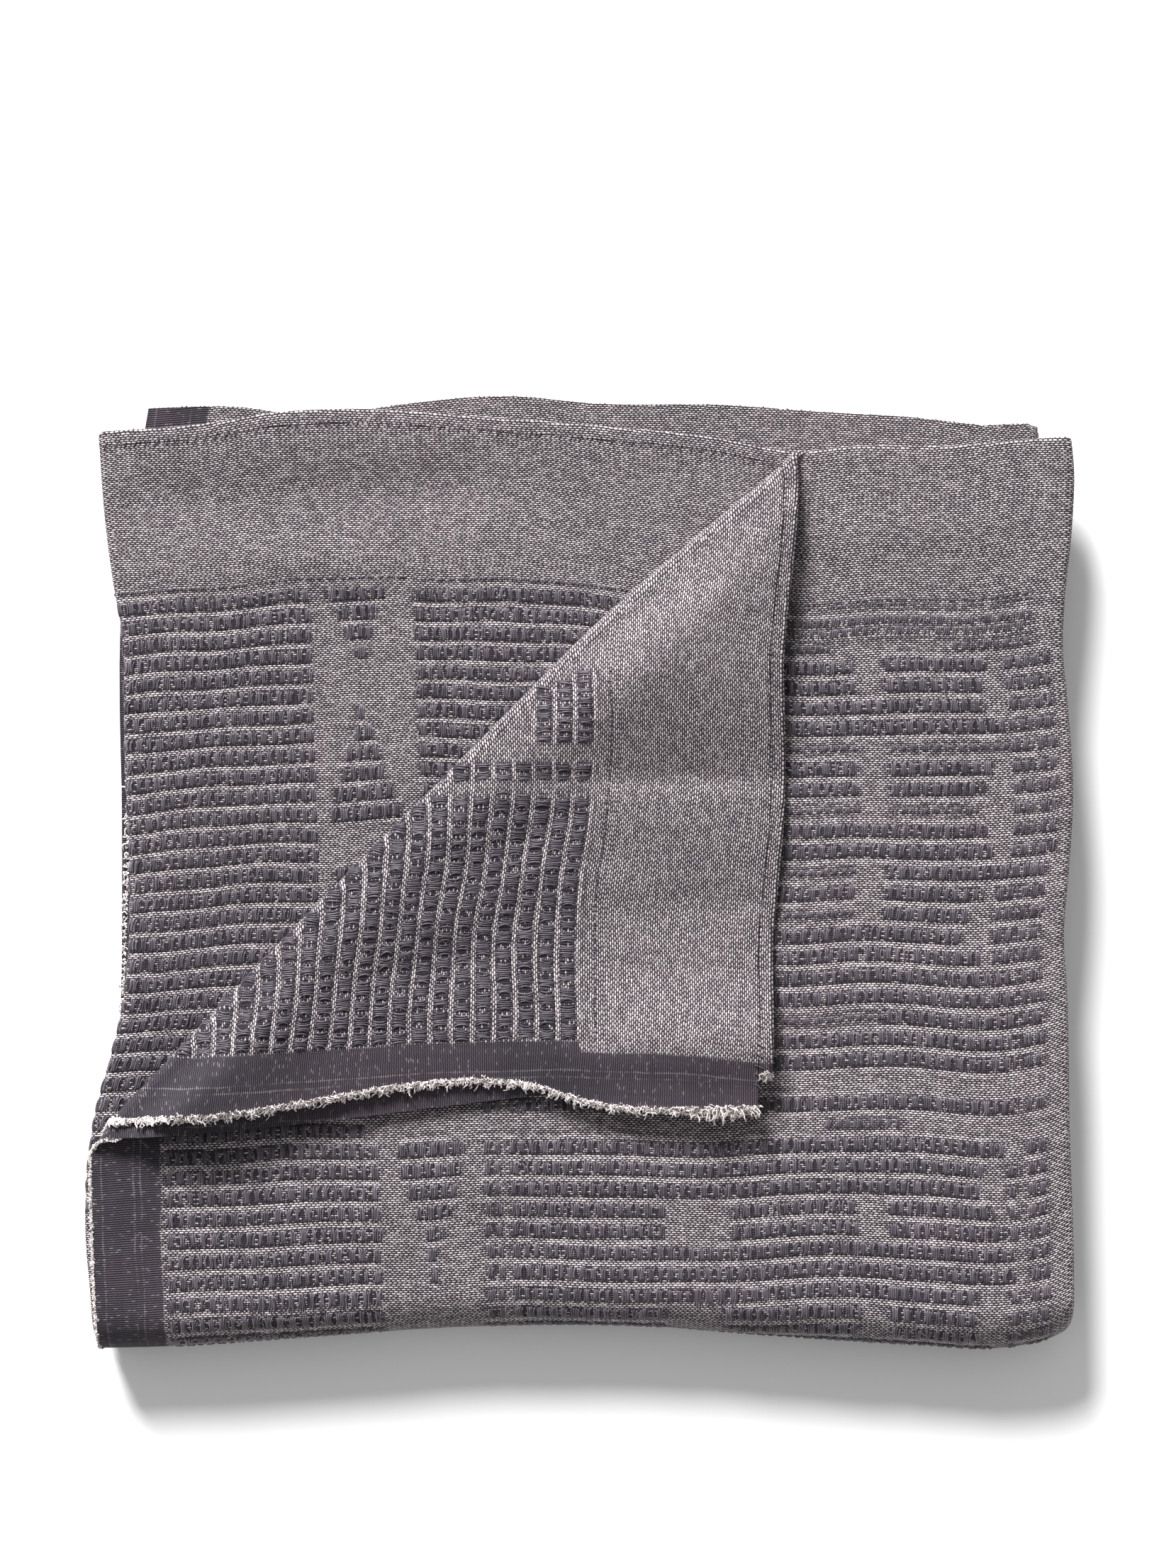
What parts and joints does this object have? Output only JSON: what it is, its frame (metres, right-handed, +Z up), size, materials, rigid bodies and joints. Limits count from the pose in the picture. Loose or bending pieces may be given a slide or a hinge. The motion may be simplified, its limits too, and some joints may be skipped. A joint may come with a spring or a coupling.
{
  "type": "folded handwoven cloth",
  "caption": "Handwoven cloth of sewn loom panels with raised pattern rows, folded into a flat square stack with one corner turned back.",
  "frame": {"origin": "middle of the folded stack's outline, on the surface that it rests on", "axes": "+Z up through the layers; +Y towards the folded back edge with the seam and the selvages; +X towards the fold that the turned corner points away from"},
  "size_m": [0.453, 0.4396, 0.0409],
  "materials": {
    "weave_front": "matt handspun plain weave with raised dark pattern rows",
    "weave_back": "matt handspun plain weave with raised dark pattern rows"
  },
  "bodies": {
    "root": {"panel_front": "weave_front", "panel_back": "weave_back"}
  },
  "joints": []
}
